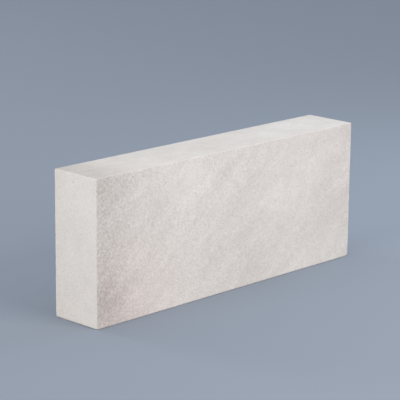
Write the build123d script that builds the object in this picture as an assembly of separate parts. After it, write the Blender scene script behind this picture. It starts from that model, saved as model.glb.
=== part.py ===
from build123d import *
import os

# A plain building block of autoclaved aerated concrete, the slim kind that is laid on its long narrow bed
# to make an inner wall. It is cast as part of one large cake and cut out of it with taut wires, so it is a
# single solid with flat faces and crisp arrises.
#
# Frame, in millimetres: the origin is the middle of the bottom bed, X runs along the block, Y through its
# thickness and Z up to the top bed.

# Driving dimensions: the coordinating size that such blocks are cut to.
LENGTH = 625.0
THICKNESS = 100.0
HEIGHT = 250.0

# The wires leave the edges sharp, and they crumble to about this radius when the blocks are stacked.
ARRIS_RADIUS = 1.0


def wall_block():
    """The block: its upright section, run out to the full length and eased along every arris."""
    with BuildPart() as block:
        # The section that a mason sees at a cut end, standing on the bottom bed.
        with BuildSketch(Plane.YZ):
            Rectangle(THICKNESS, HEIGHT, align=(Align.CENTER, Align.MIN))
        # Half the length goes to each side, so that the ends lie evenly about the origin.
        extrude(amount=LENGTH / 2, both=True)
        # One rolling radius on all arrises meets at the corners in eighths of a ball, as worn corners do.
        fillet(block.edges(), radius=ARRIS_RADIUS)
    return block.part


PARTS = {"aerated_concrete_board": wall_block()}

os.makedirs("parts", exist_ok=True)
for node, solid in PARTS.items():
    solid.label = node
    export_step(solid, f"parts/{node}.step")
    size = solid.bounding_box().size
    print(f"{node}: {size.X:.1f} x {size.Y:.1f} x {size.Z:.1f} mm, {solid.volume / 1e6:.3f} litres")
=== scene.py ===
# %% [markdown]
# # A block of aerated concrete
#
# The object is a slim wall block. Lime, cement and sand are stirred with a little aluminium powder, the mix
# rises like dough, and the soft cake is cut with taut wires and hardened in steam. What the wires leave is
# plain: six flat sides, crisp arrises, and everywhere the halves of the bubbles that they cut open.
#
# The measured block comes in as a fixed frame. It has the right size and shape, but its faces are blank, so
# this file grows a skin in its place that has the bubbles, the crumbled arrises and the cloudy pale colour.

# %% Load the measured block
import math

import bpy
import numpy as np
from mathutils import Matrix, Vector, noise
from mathutils.geometry import delaunay_2d_cdt


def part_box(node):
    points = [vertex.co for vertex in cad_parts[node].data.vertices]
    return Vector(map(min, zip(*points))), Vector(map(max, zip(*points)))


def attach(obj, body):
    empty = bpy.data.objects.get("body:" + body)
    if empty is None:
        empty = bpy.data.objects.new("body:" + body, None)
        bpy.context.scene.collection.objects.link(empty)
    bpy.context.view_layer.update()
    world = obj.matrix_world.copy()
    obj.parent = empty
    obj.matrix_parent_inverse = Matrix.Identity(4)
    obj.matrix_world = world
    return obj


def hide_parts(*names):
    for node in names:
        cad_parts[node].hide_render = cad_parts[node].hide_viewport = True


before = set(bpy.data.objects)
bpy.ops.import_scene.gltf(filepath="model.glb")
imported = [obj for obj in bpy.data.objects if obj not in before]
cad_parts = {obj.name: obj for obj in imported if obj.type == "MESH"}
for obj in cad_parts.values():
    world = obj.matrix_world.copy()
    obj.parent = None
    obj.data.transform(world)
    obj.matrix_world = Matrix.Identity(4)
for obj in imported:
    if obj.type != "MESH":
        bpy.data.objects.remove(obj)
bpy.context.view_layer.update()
NODE = "aerated_concrete_board"
MM = 0.001

LOW, HIGH = (np.array(corner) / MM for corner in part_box(NODE))
SIZE = HIGH - LOW
print(f"block {SIZE[0]:.1f} x {SIZE[1]:.1f} x {SIZE[2]:.1f} mm")

# %% [markdown]
# ## The camera
#
# The upright edges of the block lean together only slightly and its long edges hardly converge, which is
# what a long lens does from a few paces away. The camera was worked out from the nine edges that show: it
# stands off the near corner, turned about 45 degrees from the long face and looking down a little. A camera
# could also be aimed with a Track To constraint, but then its small roll could not be set, so here the three
# angles are written down and turned into a rotation.

# %% Set up the camera
CAMERA_PLACE = (-2.2103, -2.1218, 0.9364)
CAMERA_TURN = math.radians(45.815)
CAMERA_DIP = math.radians(14.369)
CAMERA_ROLL = math.radians(0.549)
LENS = 165.26
SENSOR_WIDTH = 36.0


def aimed(turn, dip, roll):
    """Camera rotation: turned right from +Y, dipped below the horizon, rolled about the line of sight."""
    upright = Matrix.Rotation(math.pi / 2, 3, "X")
    return (Matrix.Rotation(-turn, 3, "Z") @ upright @ Matrix.Rotation(-dip, 3, "X")
            @ Matrix.Rotation(roll, 3, "Z"))


camera = bpy.data.objects.new("camera", bpy.data.cameras.new("camera"))
camera.data.sensor_width = SENSOR_WIDTH
camera.data.lens = LENS
camera.matrix_world = Matrix.Translation(CAMERA_PLACE) @ aimed(CAMERA_TURN, CAMERA_DIP, CAMERA_ROLL).to_4x4()
bpy.context.scene.collection.objects.link(camera)
bpy.context.scene.camera = camera
print(f"camera {Vector(CAMERA_PLACE).length:.2f} m from the block")

# %% [markdown]
# ## Six sides
#
# Each side is drawn flat, as a sheet with its own right and up directions, and then stood in its place. The
# cross product of the two directions points out of the block. The two large sides are the coarsest, because
# the long wires run through the cake there, while the ends and the beds come out nearly smooth. How coarse a
# side is sets how many bubbles it gets, and later how strong its grain is.

# %% Describe the sides
X, Y, Z = np.eye(3)
COARSE_SIDES = 1.0
COARSE_ENDS = 0.45
COARSE_BEDS = 0.3


class Side:
    """One side of the block, as a flat sheet with its lower left corner at (0, 0), in millimetres."""

    def __init__(self, right, up, coarse):
        self.right, self.up, self.coarse = right, up, coarse
        self.out = np.cross(right, up)
        self.width = abs(SIZE @ right)
        self.height = abs(SIZE @ up)
        middle = (LOW + HIGH) / 2 + self.out * abs(SIZE @ self.out) / 2
        self.corner = middle - right * self.width / 2 - up * self.height / 2

    def stand(self, flat):
        """Points of the sheet, put where the side is on the sharp-edged block."""
        return self.corner + np.outer(flat[:, 0], self.right) + np.outer(flat[:, 1], self.up)


SIDES = {
    "front": Side(X, Z, COARSE_SIDES),
    "back": Side(-X, Z, COARSE_SIDES),
    "left_end": Side(-Y, Z, COARSE_ENDS),
    "right_end": Side(Y, Z, COARSE_ENDS),
    "top_bed": Side(X, Y, COARSE_BEDS),
    "bottom_bed": Side(X, -Y, COARSE_BEDS),
}
for name, side in SIDES.items():
    print(f"{name}: {side.width:.0f} x {side.height:.0f} mm, faces {side.out}")

# %% [markdown]
# ## Bubbles that the wire cut open
#
# In the cake the bubbles are round, and a cut passes each of them at some height above its middle, so what
# shows is a round bowl: wide and deep when the cut runs near the middle, small and shallow when it only
# grazes the top. Real bowls could be cut with a Boolean for each, which takes hours, or pushed in with a
# Displace modifier, which needs millions of faces to hold a bowl a millimetre wide. Here the bubbles are
# thrown on the sheet like darts, widest bowl first, each one kept only if it stays clear of those before it.

# %% Throw the bubbles
BUBBLES_PER_CM2 = 1.60
SMOOTH_SHARE = 0.45
BUBBLE_MEDIAN = 0.80
BUBBLE_SPREAD = 0.36
BUBBLE_RANGE = (0.5, 2.0)
CUT_RANGE = (0.35, 0.85)
LEAST_WALL = 0.25
TRIES = 30
SEED = 20
CM = 10

rng = np.random.default_rng(SEED)


def throw_bubbles(side):
    """Rim radius, depth and centre of each bubble that is cut open on a side."""
    share = SMOOTH_SHARE + (1 - SMOOTH_SHARE) * side.coarse
    count = int(BUBBLES_PER_CM2 * share * side.width * side.height / CM ** 2)
    radius = np.clip(rng.lognormal(math.log(BUBBLE_MEDIAN), BUBBLE_SPREAD, count), *BUBBLE_RANGE)
    cut = rng.uniform(*CUT_RANGE, count) * radius
    rim = np.sqrt(radius ** 2 - cut ** 2)
    order = np.argsort(-rim)
    rim, depth = rim[order], (radius - cut)[order]
    centres = np.full((count, 2), np.inf)
    for k in range(count):
        room = rim[k] + LEAST_WALL
        for spot in rng.uniform((room, room), (side.width - room, side.height - room), (TRIES, 2)):
            if k == 0 or (np.hypot(*(centres[:k] - spot).T) - rim[:k]).min() > room:
                centres[k] = spot
                break
    found = np.isfinite(centres[:, 0])
    return rim[found], depth[found], centres[found]


bubbles = {name: throw_bubbles(side) for name, side in SIDES.items()}
for name, (rim, depth, centres) in bubbles.items():
    print(f"{name}: {len(rim)} bowls, {2 * rim.min():.1f} to {2 * rim.max():.1f} mm wide")

# %% [markdown]
# ## Points only where the surface bends
#
# A sheet needs points on the rim, the wall and the floor of each bowl, in close rows along its four edges
# where the arris rounds over, and hardly any between. An even grid fine enough for the bowls would need many
# times as many. So the points are laid out flat first, each with the depth that it will be pushed in by. An
# edge row is given as how far in it lies and how far apart its points are.

# %% Points of one bowl
SMALL_BOWL = 0.6
LARGE_BOWL = 1.1
RIM_POINTS = (6, 8, 10)
RIM_WOBBLE = 0.10
WALL_RING = 0.58
WALL_DEPTH = 0.72
WALL_WOBBLE = 0.05


def ring(centre, radius, count, wobble):
    """Points round a centre, turned and pulled about a little, as no bubble is quite round."""
    angle = (np.arange(count) + rng.uniform()) * 2 * math.pi / count
    length = radius * (1 + wobble * rng.uniform(-1, 1, count))
    return centre + np.column_stack((np.cos(angle), np.sin(angle))) * length[:, None]


def bowl(centre, rim, depth):
    """Points of one bowl with their depths, and the number of them on its rim."""
    count = RIM_POINTS[np.digitize(rim, (SMALL_BOWL, LARGE_BOWL))]
    rings = [ring(centre, rim, count, RIM_WOBBLE)]
    depths = [np.zeros(count)]
    if rim >= SMALL_BOWL:
        rings.append(ring(centre, rim * WALL_RING, count // 2, WALL_WOBBLE))
        depths.append(np.full(count // 2, depth * WALL_DEPTH))
    rings.append(centre[None])
    depths.append(np.array([depth]))
    return np.vstack(rings), np.concatenate(depths), count


small = sum((rim < SMALL_BOWL).sum() for rim, depth, centres in bubbles.values())
print(f"{small} bowls are small enough to do without points on their wall")

# %% Points of one side
EDGE_ROWS = ((0.0, 1.25), (0.7, 1.25), (1.6, 1.8), (3.2, 3.2))
FILL_STEP = 11.0
FILL_JITTER = 0.3
CLEAR_SHARE = 1.2
CLEAR_GAP = 0.1


def edge_row(width, height, inset, step):
    """Points along the four edges of a sheet, set in from them, without repeating a corner."""
    wide, high = width - 2 * inset, height - 2 * inset
    i = np.arange(round(wide / step)) * wide / round(wide / step)
    j = np.arange(round(high / step)) * high / round(high / step)
    bottom = np.column_stack((i, 0 * i))
    right = np.column_stack((0 * j + wide, j))
    top = np.column_stack((wide - i, 0 * i + high))
    left = np.column_stack((0 * j, high - j))
    return np.vstack((bottom, right, top, left)) + inset


def fill(width, height):
    """Points strewn over the middle of a sheet, about a step apart."""
    columns, rows = int(width / FILL_STEP), int(height / FILL_STEP)
    grid = np.stack(np.meshgrid(np.arange(columns), np.arange(rows)), -1).reshape(-1, 2) + 0.5
    grid = grid + rng.uniform(-FILL_JITTER, FILL_JITTER, grid.shape)
    return grid * (width / columns, height / rows)


def clear_of(points, centres, rims):
    """The points that lie outside all the bowls."""
    keep = np.ones(len(points), bool)
    for centre, rim in zip(centres, rims):
        reach = CLEAR_SHARE * rim + CLEAR_GAP
        near = np.abs(points - centre).max(1) < reach
        keep[near] &= np.hypot(*(points[near] - centre).T) > reach
    return points[keep]


def lay_out(side, rims, deep, centres):
    """All the points of a sheet, their depths, and the pairs of points that form a rim."""
    boundary = edge_row(side.width, side.height, *EDGE_ROWS[0])
    inner = [edge_row(side.width, side.height, inset, step) for inset, step in EDGE_ROWS[1:]]
    loose = clear_of(np.vstack(inner + [fill(side.width, side.height)]), centres, rims)
    points = [boundary, loose]
    depths = [np.zeros(len(boundary) + len(loose))]
    start = len(depths[0])
    rim_pairs = []
    for centre, rim, depth in zip(centres, rims, deep):
        spots, pushed, count = bowl(centre, rim, depth)
        points.append(spots)
        depths.append(pushed)
        rim_pairs += [(start + k, start + (k + 1) % count) for k in range(count)]
        start += len(spots)
    return np.vstack(points), np.concatenate(depths), rim_pairs


print(f"{len(EDGE_ROWS)} rows of points within {EDGE_ROWS[-1][0]} mm of every edge")

# %% [markdown]
# ## From points to triangles
#
# A Delaunay triangulation joins each point to its natural neighbours and keeps the triangles as plump as the
# points allow. It is told to keep the rim pairs as edges, so that every bowl has a clean lip. Blender could
# also fill an outline with triangles by itself, but its long thin ones would show as creases in the light.

# %% Triangulate the six sheets
TOUCHING = 1e-6


def triangulate(points, rim_pairs):
    """Triangles over flat points, wound so that they face out of the block."""
    found = delaunay_2d_cdt([Vector(p) for p in points], rim_pairs, [], 0, TOUCHING, True)
    original = [min(ids) for ids in found[3]]
    return np.array([[original[v] for v in face] for face in found[2]])


sheets = {}
for name, side in SIDES.items():
    flat, depths, rim_pairs = lay_out(side, *bubbles[name])
    sheets[name] = flat, depths, triangulate(flat, rim_pairs)
    print(f"{name}: {len(flat)} points, {len(sheets[name][2])} triangles")

# %% [markdown]
# ## Rolled and crumbled arrises
#
# The real arris is where two cuts meet. It starts sharp and loses a little wherever it is touched, so its
# radius wanders along the edge, grows a little at the corners, and is largest round the foot, which rubs on
# every floor that the block is put down on. A Bevel modifier gives one radius all along. Instead every point
# is moved as if a ball were rolled along the inside of the edge: the nearest point of an inner core is found,
# and the surface lies one radius away from it. Where the radius changes from place to place, so does the
# ball. Last, the bubbles that lay right in the arris leave small bites in it. The middle of such a bubble is
# always outside the block, so that no bite undercuts the face beside it.

# %% Ease the arrises
ARRIS_RADIUS = 0.95
ARRIS_WANDER = 0.80
ARRIS_WAVE = 7.0
ARRIS_LIMITS = (0.4, 3.0)
CORNER_WEAR = 0.4
CORNER_REACH = 5.0
FOOT_WEAR = 1.0
FOOT_REACH = 6.0


def wander(points, wave):
    """Smooth noise from -1 to 1 at points, with features about a wave long."""
    return np.array([noise.noise(Vector(point) / wave) for point in points])


def arris_radius(points):
    """The radius that the arris has worn to at each point."""
    to_corner = np.linalg.norm(np.minimum(points - LOW, HIGH - points), axis=1)
    corner = CORNER_WEAR * np.exp(-(to_corner / CORNER_REACH) ** 2)
    foot = FOOT_WEAR * np.exp(-((points[:, 2] - LOW[2]) / FOOT_REACH) ** 2)
    worn = ARRIS_RADIUS * (1 + ARRIS_WANDER * wander(points, ARRIS_WAVE)) + corner + foot
    return np.clip(worn, *ARRIS_LIMITS)


def ease(points):
    """Where the points of the sharp block lie once its arrises are rolled, and which way is out there."""
    radius = arris_radius(points)[:, None]
    core = np.clip(points, LOW + radius, HIGH - radius)
    out = points - core
    out /= np.linalg.norm(out, axis=1, keepdims=True)
    return core + out * radius, out


for label, height in (("top", HIGH[2]), ("bottom", LOW[2])):
    radii = arris_radius(np.array([(x, LOW[1], height) for x in np.arange(LOW[0], HIGH[0])]))
    print(f"{label} front arris: radius {radii.min():.1f} to {radii.max():.1f} mm, mean {radii.mean():.2f}")

# %% Bite the arrises
BITES_PER_METRE = 70
BITE_RADIUS = (0.7, 1.9)
BITE_OUT = (0.25, 0.65)


def bite(points):
    """Takes small round bites out of the arrises, where bubbles lay right in them, and counts them."""
    taken = 0
    for axis in range(3):
        across = [k for k in range(3) if k != axis]
        for ends in ((0, 0), (0, 1), (1, 0), (1, 1)):
            for _ in range(int(BITES_PER_METRE * SIZE[axis] * MM)):
                radius = rng.uniform(*BITE_RADIUS)
                centre = LOW + rng.uniform(size=3) * SIZE
                centre[across] = np.where(ends, HIGH[across], LOW[across])
                away = np.where(ends, 1, -1) / math.sqrt(2)
                centre[across] += away * radius * rng.uniform(*BITE_OUT)
                gap = np.linalg.norm(points - centre, axis=1)
                hit = (gap < radius) & (gap > 0)
                points[hit] = centre + (points[hit] - centre) * (radius / gap[hit])[:, None]
                taken += 1
    return taken


print(f"{BITES_PER_METRE} bites to a metre of arris, {2 * BITE_RADIUS[0]} to {2 * BITE_RADIUS[1]} mm across")

# %% [markdown]
# ## A flat map of the skin
#
# When the finish is baked, the skin has to lie flat on one square picture. A block could be unwrapped with
# Smart UV Project, but the six sheets are flat already. They are laid side by side, all at the same scale,
# which gives every side its fair share of the picture, with a gap so that no colour runs over.

# %% Place the sheets on the map
MAP_ROWS = (("front", "left_end"), ("back", "right_end"), ("top_bed",), ("bottom_bed",))
MAP_GAP = 10.0


def map_corners():
    """The lower left corner of every sheet on the flat map, and the side of the square that holds them."""
    corners = {}
    top = widest = MAP_GAP
    for names in MAP_ROWS:
        left = MAP_GAP
        for name in names:
            corners[name] = np.array((left, top))
            left += SIDES[name].width + MAP_GAP
        top += SIDES[names[0]].height + MAP_GAP
        widest = max(widest, left)
    return corners, max(top, widest)


corners, map_size = map_corners()
print(f"map of {map_size:.0f} x {map_size:.0f} mm")

# %% [markdown]
# ## One closed skin
#
# Neighbouring sheets have the same points along the edge that they share. Six meshes could be joined and
# then merged by distance. Here the points that fall together are found first and made one, because then the
# depth and coarseness of every point stay at hand for the steps that follow. Once the doubles are gone, the
# skin is closed. The real cut is not quite flat either, so between the bowls the skin lies up to a fifth of a
# millimetre deeper in some places than in others.

# %% Join the sheets
UNEVEN = 0.10
UNEVEN_WAVE = 60.0
SAME_POINT_DECIMALS = 4

sharp, depth, coarse, chart, sheet_faces = [], [], [], [], []
count = 0
for name, (flat, pushed, triangles) in sheets.items():
    sharp.append(SIDES[name].stand(flat))
    depth.append(pushed)
    coarse.append(np.full(len(flat), SIDES[name].coarse))
    chart.append((flat + corners[name]) / map_size)
    sheet_faces.append(triangles + count)
    count += len(flat)
sharp, depth, coarse = np.vstack(sharp), np.concatenate(depth), np.concatenate(coarse)
chart, sheet_faces = np.vstack(chart), np.vstack(sheet_faces)

rounded = np.round(sharp, SAME_POINT_DECIMALS)
_, first, same = np.unique(rounded, axis=0, return_index=True, return_inverse=True)
faces = same.ravel()[sheet_faces]
sharp, depth, coarse = sharp[first], depth[first], coarse[first]
uneven = UNEVEN * (1 + wander(sharp, UNEVEN_WAVE)) * (depth == 0)
places, out = ease(sharp)
places -= out * (depth + uneven)[:, None]
bites = bite(places)
print(f"{len(places)} points, {len(faces)} triangles, {bites} bites in the arrises")

pairs = np.sort(faces[:, [0, 1, 1, 2, 2, 0]].reshape(-1, 2), axis=1)
uses = np.unique(pairs, axis=0, return_counts=True)[1]
print(f"edges that don't join exactly two triangles: {(uses != 2).sum()}")

# %% [markdown]
# ## The mesh and what it remembers
#
# Light should glide over the rolled arrises but break at the lip of every bowl, where the wire went through.
# Smooth shading with a sharp angle finds only the steep lips. Round the shallow bowls it would bend the light
# on the flat face too, which looks like dents as wide as the triangles there. So each edge between a sunk
# triangle and a flat one is marked sharp. Three facts are kept with every point for the colour to use: how
# deep in a bowl it is, how near an arris, and how coarse its side is.

# %% Make the mesh
SHARP_ANGLE = math.radians(38)
FULL_DEPTH = 1.0
ARRIS_FADE = 1.6


def mark_lips(mesh, sunk):
    """Makes sharp every edge between a sunk triangle and one that isn't, and counts them."""
    edge = np.empty(len(mesh.loops), int)
    mesh.loops.foreach_get("edge_index", edge)
    lip = np.bincount(edge, np.repeat(sunk, 3)) == 1
    creased = np.empty(len(mesh.edges), bool)
    mesh.edges.foreach_get("use_edge_sharp", creased)
    mesh.edges.foreach_set("use_edge_sharp", creased | lip)
    return lip.sum()


mesh = bpy.data.meshes.new("aerated_concrete_skin")
mesh.from_pydata((places * MM).tolist(), [], faces.tolist())
mesh.uv_layers.new(name="OFBake").data.foreach_set("uv", chart[sheet_faces].ravel())

to_edge = np.sort(np.minimum(sharp - LOW, HIGH - sharp), axis=1)[:, 1]
facts = {
    "pore": np.clip(depth / FULL_DEPTH, 0, 1),
    "arris": np.exp(-to_edge / ARRIS_FADE),
    "coarse": coarse,
}
for fact, values in facts.items():
    mesh.attributes.new(fact, "FLOAT", "POINT").data.foreach_set("value", values)
mesh.shade_smooth()
mesh.set_sharp_from_angle(angle=SHARP_ANGLE)
lips = mark_lips(mesh, depth[faces].max(axis=1) > 0)
print(f"{lips} sharp edges round the bowls")

# %% Put the skin in the block's place
block = bpy.data.objects.new("aerated_concrete_skin", mesh)
bpy.context.scene.collection.objects.link(block)
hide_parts(NODE)
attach(block, "root")
print(f"{block.name} stands in for {NODE}")

# %% [markdown]
# ## Writing a material as sums
#
# A material is a graph of nodes, and maths in it is tedious to wire by hand. This small class holds one
# output of a node. A sum on it, such as 1 - mask, adds the Math node that works it out and gives back that
# node's output, so the finish below can be read as a formula. Any other node comes from its node method.

# %% The socket class
class Wire:
    """An output socket of a node tree that can be used in sums."""

    def __init__(self, tree, socket=None):
        self.tree = tree
        self.socket = socket

    def node(self, kind, settings=None, sockets=None, out=0):
        """Adds a node of a kind, sets it up, fills its sockets with values or links, and gives one output."""
        made = self.tree.nodes.new(kind)
        for setting, value in (settings or {}).items():
            setattr(made, setting, value)
        for key, value in (sockets or {}).items():
            if isinstance(value, Wire):
                self.tree.links.new(value.socket, made.inputs[key])
            else:
                made.inputs[key].default_value = value
        return Wire(self.tree, made.outputs[out] if made.outputs else None)

    def maths(self, operation, *terms):
        return self.node("ShaderNodeMath", {"operation": operation}, dict(enumerate(terms)))

    def __add__(self, other):
        return self.maths("ADD", self, other)

    __radd__ = __add__

    def __mul__(self, other):
        return self.maths("MULTIPLY", self, other)

    __rmul__ = __mul__

    def __sub__(self, other):
        return self.maths("SUBTRACT", self, other)

    def __rsub__(self, other):
        return self.maths("SUBTRACT", other, self)

    def between(self, low, high):
        """0 up to low and 1 from high on, with a smooth change between. low may be the larger one."""
        if low > high:
            return 1 - self.between(high, low)
        settings = {"interpolation_type": "SMOOTHSTEP"}
        return self.node("ShaderNodeMapRange", settings, {"Value": self, "From Min": low, "From Max": high})

    def mix(self, start, end, blend="MIX"):
        """Two colours mixed by this value. The Mix node's sockets for colours are 6 and 7 in, and 2 out."""
        settings = {"data_type": "RGBA", "blend_type": blend}
        return self.node("ShaderNodeMix", settings, {0: self, 6: start, 7: end}, out=2)


def emptied(owner):
    """The node tree of a material or a world, cleared and ready for new nodes."""
    owner.use_nodes = True
    owner.node_tree.nodes.clear()
    return Wire(owner.node_tree)


material = bpy.data.materials.new("aerated_concrete")
concrete = emptied(material)
print(f"{material.name}: empty tree, the finish follows")

# %% [markdown]
# ## Big sides, ends and beds
#
# The big sides, the ends and the beds were cut by different wires and don't look alike. They could have a
# material each, but then the clouds and the grain would have to be set up three times. One material with
# masks does for all. The masks come from the coarseness that every point of the mesh keeps, and places are
# measured in millimetres on the block itself, so every pattern has its real scale. The big sides are
# harshest at the left and grow calmer to the right.

# %% Masks and measures
MORE_THAN_ENDS = (0.6, 0.9)
LESS_THAN_ENDS = (0.42, 0.33)
HARSH_LEFT = 0.32
HARSH_DROP = 0.52


def fact(name):
    """A fact that the mesh keeps for every point."""
    return concrete.node("ShaderNodeAttribute", {"attribute_name": name}, out="Fac")


def measure(axis):
    """How far along an axis a place on the block is, in millimetres."""
    return concrete.node("ShaderNodeSeparateXYZ", None, {"Vector": place}, axis)


def by_side(sides, ends, beds):
    """A strength that differs between the two big sides, the two ends and the two beds."""
    return sides * on_sides + ends * on_ends + beds * on_beds


place = concrete.node("ShaderNodeVectorMath", {"operation": "SCALE"},
                      {0: concrete.node("ShaderNodeTexCoord", out="Object"), "Scale": 1 / MM})
along, across, rise = measure("X"), measure("Y"), measure("Z")
coarseness = fact("coarse")
on_sides = coarseness.between(*MORE_THAN_ENDS)
on_beds = coarseness.between(*LESS_THAN_ENDS)
on_ends = 1 - on_sides - on_beds
harsh = coarseness * (1 + on_sides * (HARSH_LEFT - HARSH_DROP * along.between(LOW[0], HIGH[0])))
print(f"masks and measures: {len(material.node_tree.nodes)} nodes")

# %% [markdown]
# ## Clouds, streaks and grain
#
# Large soft clouds come from the way the cake dried, and faint streaks slant across the big sides. Over them
# lie blotches the size of a thumbnail, and the grain that makes the block look coarse from a distance. All of
# it could be painted, but a Noise texture in three dimensions runs round the arrises without a seam. For the
# streaks it is read through a Mapping node that turns and stretches it.

# %% Soft noise at four sizes
STREAK_CLIMB = math.radians(38)
STREAK_STRETCH = 3.2


def speckle(where, wave, detail, roughness=0.5):
    """Soft noise around 0, from -0.5 to 0.5, with features about a wave long, in millimetres."""
    sockets = {"Vector": where, "Scale": 1 / wave, "Detail": detail, "Roughness": roughness}
    return concrete.node("ShaderNodeTexNoise", None, sockets) - 0.5


slanted = concrete.node("ShaderNodeMapping", {"vector_type": "TEXTURE"},
                        {"Vector": place, "Rotation": (0, -STREAK_CLIMB, 0), "Scale": (STREAK_STRETCH, 1, 1)})
clouds = speckle(place, wave=95, detail=1.5)
streaks = speckle(slanted, wave=30, detail=1.5)
blotches = speckle(place, wave=17, detail=2, roughness=0.6)
grain = speckle(place, wave=4.9, detail=2, roughness=0.75)
print(f"with the noise: {len(material.node_tree.nodes)} nodes")

# %% [markdown]
# ## Fine bubbles
#
# Most bubbles are too small to be worth a bowl of their own in the mesh. A Voronoi texture in three
# dimensions scatters points through the whole block, and the distance to the nearest one says whether a
# place lies inside a bubble round it. A cut through such a field gives discs of every size, just as the wire
# does.

# %% Fine bubbles in two sizes
BUBBLE_CORE = 0.35


def fine_bubbles(cell, reach):
    """1 inside small cut bubbles and 0 between them. Cell is in millimetres, and reach is a share of it."""
    distance = concrete.node("ShaderNodeTexVoronoi", None, {"Vector": place, "Scale": 1 / cell})
    return distance.between(reach, reach * BUBBLE_CORE)


pits = fine_bubbles(cell=2.7, reach=0.42)
pinholes = fine_bubbles(cell=1.3, reach=0.45)
print(f"with the fine bubbles: {len(material.node_tree.nodes)} nodes")

# %% [markdown]
# ## Painted shade at the ends and soft patches
#
# Towards its left end the block is painted darker, as painted shade, and on the big sides it is a little
# darker towards the right one too. Its small ends have painted light and shade: lighter towards the top and
# darker towards the back, as light falls on them. Between them the front and the top have lighter and darker
# patches of their own. Noise alone never puts them in the right places, and a painted picture would have to
# be fitted round every edge. So each patch is a soft ball round a place on the skin, written down as that
# place, how far it reaches and how much lighter it makes the skin.

# %% Soft patches
FRONT_PATCHES = (
    (-300, 35, 85, -0.18),
    (-300, 0, 50, 0.14),
    (-250, 165, 60, -0.08),
    (-110, 215, 90, 0.16),
    (-130, 110, 110, 0.08),
    (-130, 5, 110, 0.25),
    (-20, 115, 65, 0.10),
    (40, 35, 75, -0.12),
    (125, 145, 65, 0.12),
    (180, 70, 80, -0.09),
    (190, 0, 60, 0.17),
    (240, 120, 60, -0.08),
    (305, 240, 50, -0.12),
)
TOP_PATCHES = (
    (-275, -45, 35, 0.15),
    (-160, -20, 60, 0.12),
    (-80, -25, 50, 0.13),
    (135, -15, 45, 0.14),
    (210, 10, 55, 0.13),
)


def patch(x, y, z, reach):
    """1 at a place on the skin and 0 from its reach on, in millimetres."""
    ends = {0: place, 1: (x, y, z)}
    return concrete.node("ShaderNodeVectorMath", {"operation": "DISTANCE"}, ends, "Value").between(reach, 0)


front_lighter = sum(lighter * patch(x, LOW[1], z, reach) for x, z, reach, lighter in FRONT_PATCHES)
top_lighter = sum(lighter * patch(x, y, HIGH[2], reach) for x, y, reach, lighter in TOP_PATCHES)
print(f"{len(FRONT_PATCHES)} patches on the front, {len(TOP_PATCHES)} on the top")

# %% Add up the painted shade and patches
PAINTED_SHADE_LEFT = 0.36
PAINTED_SHADE_LEFT_REACH = 100
PAINTED_SHADE_LEFT_FULL = 10
DULL_RIGHT = 0.14
DULL_RIGHT_REACH = 90
END_PAINTED_SHADE_BACK = 0.10
END_PAINTED_LIGHT_UP = 0.12

# Painted shade: the big sides and the beds are painted darker towards the left end.
painted_shade_left = PAINTED_SHADE_LEFT * along.between(LOW[0] + PAINTED_SHADE_LEFT_REACH, LOW[0] + PAINTED_SHADE_LEFT_FULL)
dull_right = DULL_RIGHT * along.between(HIGH[0] - DULL_RIGHT_REACH, HIGH[0])
# Painted light and shade on the small ends: darker towards the back and lighter towards the top.
painted_shade_back = END_PAINTED_SHADE_BACK * across.between(LOW[1], HIGH[1])
painted_light_up = END_PAINTED_LIGHT_UP * rise.between(LOW[2], HIGH[2])
# The painted shade and light, with the lighter and darker patches, all in one sum.
painted_shade_and_patches = by_side(sides=painted_shade_left + dull_right - front_lighter, ends=painted_shade_back - painted_light_up,
                beds=painted_shade_left - top_lighter)
print(f"with the stain: {len(material.node_tree.nodes)} nodes")

# %% [markdown]
# ## Colour
#
# The dry block is a warm pale grey. The tone between its dull and its pale shade follows the clouds, streaks,
# blotches, grain, painted shade and patches, and the grain is strongest where the side is harsh or painted
# darker. A faint rosy tint lies over the lower left of the front. Bubbles, pits and bowls are painted darker,
# as painted shade for the shade that falls in hollows, and the crumbled arrises are a little lighter, since
# fresh material shows there. A strength with three values is for the big sides, the ends and the beds.

# %% The tone
EVEN_TONE = 0.715
CLOUDS = 0.2
STREAKS = (0.57, 0.20, 0.32)
BLOTCHES = (0.34, 0.10, 0.38)
GRAIN_SMOOTH = 0.17
GRAIN_HARSH = 0.70
GRAIN_WHERE_DARKER = 1.4

# The painted shade and patches are taken off the even tone, and the grain grows where it is painted darker.
tone = EVEN_TONE - painted_shade_and_patches + CLOUDS * clouds + by_side(*STREAKS) * streaks + by_side(*BLOTCHES) * blotches
tone += grain * (GRAIN_SMOOTH + GRAIN_HARSH * harsh) * (1 + GRAIN_WHERE_DARKER * painted_shade_and_patches)
print(f"with the tone: {len(material.node_tree.nodes)} nodes")

# %% The colour
DULL = (0.378, 0.330, 0.300, 1)
PALE = (0.800, 0.762, 0.713, 1)
LEAST_PALE = 0.3
ROSY = (1.0, 0.92, 0.92, 1)
ROSY_PLACE = (-240, LOW[1], 20)
ROSY_REACH = 190
ROSY_TINT = 0.65
# The colour of the painted shade in bubbles, pits and bowls.
PORE_SHADE_COLOUR = (0.44, 0.41, 0.38, 1)
PIT_SHADE = 0.38
PINHOLE_SHADE = 0.16
BOWL_SHADE = 0.6
LEAST_SHADE = 0.3
FRESH = (0.76, 0.725, 0.690, 1)
FRESH_SHOWS = 0.15

# Painted shade: fine bubbles and the bowls of the mesh are painted darker, for the shade in hollows.
painted_pore_shade = (PIT_SHADE * pits + PINHOLE_SHADE * pinholes) * (LEAST_SHADE + (1 - LEAST_SHADE) * harsh)
painted_pore_shade += BOWL_SHADE * fact("pore")
rosy = ROSY_TINT * patch(*ROSY_PLACE, ROSY_REACH) * on_sides

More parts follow.
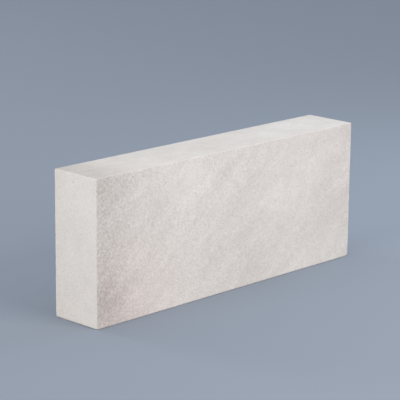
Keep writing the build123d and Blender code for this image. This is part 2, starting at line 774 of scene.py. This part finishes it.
colour = (LEAST_PALE + (1 - LEAST_PALE) * tone).mix(DULL, PALE)
colour = rosy.mix(colour, ROSY, "MULTIPLY")
colour = painted_pore_shade.mix(colour, PORE_SHADE_COLOUR)
colour = (FRESH_SHOWS * fact("arris")).mix(colour, FRESH)
print(f"with the colour: {len(material.node_tree.nodes)} nodes")

# %% [markdown]
# ## Relief and shine
#
# Up close the cut face is rough as sandpaper, with the fine bubbles sunk in it. A Displacement output would
# need triangles finer than a grain of sand to show that, so it is left to a Bump node, which only tilts the
# light. The surface is quite dull, dullest in the hollows, and has hardly any shine.

# %% Relief and shader
GRAIN_RISE = 0.35
SAND_SIZE = 1.1
SAND_RISE = 0.25
PIT_SINK = 0.8
PINHOLE_SINK = 0.4
BUMP_HEIGHT = 0.7 * MM
BUMP_STRENGTH = 0.5
ROUGHNESS = 0.86
HOLLOW_ROUGHER = 0.1
SHINE_LEVEL = 0.25

sand = speckle(place, SAND_SIZE, detail=3)
relief = GRAIN_RISE * grain + SAND_RISE * sand - PIT_SINK * pits - PINHOLE_SINK * pinholes
bump = concrete.node("ShaderNodeBump", None,
                     {"Strength": BUMP_STRENGTH, "Distance": BUMP_HEIGHT, "Height": relief})
skin = concrete.node("ShaderNodeBsdfPrincipled", None, {
    "Base Color": colour,
    "Roughness": ROUGHNESS + HOLLOW_ROUGHER * painted_pore_shade,
    "Specular IOR Level": SHINE_LEVEL,
    "Normal": bump,
})
concrete.node("ShaderNodeOutputMaterial", None, {"Surface": skin})
mesh.materials.append(material)
print(f"{material.name}: {len(material.node_tree.nodes)} nodes in all")

# %% [markdown]
# ## Floor
#
# The block is nearly white, so the floor is a blue grey that is clearly darker, and the outline shows well
# all round. A curved backdrop would show its bend from behind. One flat sheet that runs far out on all sides
# looks the same from everywhere and leaves no horizon in the picture.

# %% Lay the floor
FLOOR_HALF = 15.0
FLOOR_COLOUR = (0.27, 0.31, 0.37, 1)
FLOOR_ROUGHNESS = 0.9

floor_corners = [(x * FLOOR_HALF, y * FLOOR_HALF, 0) for x, y in ((-1, -1), (1, -1), (1, 1), (-1, 1))]
floor_mesh = bpy.data.meshes.new("floor")
floor_mesh.from_pydata(floor_corners, [], [(0, 1, 2, 3)])
floor = bpy.data.objects.new("floor", floor_mesh)
bpy.context.scene.collection.objects.link(floor)

floor_paper = bpy.data.materials.new("floor_paper")
paper = emptied(floor_paper)
paper_look = {"Base Color": FLOOR_COLOUR, "Roughness": FLOOR_ROUGHNESS}
paper_shader = paper.node("ShaderNodeBsdfPrincipled", None, paper_look)
paper.node("ShaderNodeOutputMaterial", None, {"Surface": paper_shader})
floor_mesh.materials.append(floor_paper)
print(f"floor {2 * FLOOR_HALF:.0f} m wide")

# %% [markdown]
# ## Light
#
# About half of the light comes evenly from the world. Four large soft lamps shape the block: one above at the
# right for the top, one in front, one low at the left for the end, and one low behind, which keeps the back
# as pale as the front. Small lamps would throw hard shadows, and a low lamp close by would glare on the
# floor, so the low ones stand well back. They are so wide that the floor cuts off the lowest part of their
# light. The world and the top lamp are a little cool and the others a little warm, which makes the top look
# whiter than the sides.

# %% Light the block
WORLD_COLOUR = (0.933, 0.996, 1.088, 1)
WORLD_STRENGTH = 0.65
MIDDLE = Vector((LOW + HIGH) / 2 * MM)


def hang_lamp(name, place, width, power, colour):
    """A square soft lamp at a place, turned to face the middle of the block."""
    data = bpy.data.lights.new(name, "AREA")
    data.size = width
    data.energy = power
    data.color = colour
    lamp = bpy.data.objects.new(name, data)
    lamp.location = place
    lamp.rotation_euler = (MIDDLE - Vector(place)).to_track_quat("-Z", "Y").to_euler()
    bpy.context.scene.collection.objects.link(lamp)
    print(f"{name}: {power} W, {(MIDDLE - Vector(place)).length:.1f} m away")


hang_lamp("top_light", (1.3, -0.25, 0.95), width=1.0, power=3.9, colour=(0.885, 1.0, 1.18))
hang_lamp("front_light", (0.3, -2.1, 1.2), width=1.4, power=28.4, colour=(1.095, 1.0, 0.917))
hang_lamp("left_light", (-4.56, 0.0, 0.775), width=2.8, power=109.6, colour=(1.06, 1.0, 0.927))
hang_lamp("back_light", (-1.0, 4.4, 0.6), width=1.6, power=84.0, colour=(1.08, 1.0, 0.925))

world = bpy.data.worlds.new("studio")
studio = emptied(world)
air = studio.node("ShaderNodeBackground", None, {"Color": WORLD_COLOUR, "Strength": WORLD_STRENGTH})
studio.node("ShaderNodeOutputWorld", None, {"Surface": air})
bpy.context.scene.world = world
bpy.context.scene.view_settings.view_transform = "Standard"
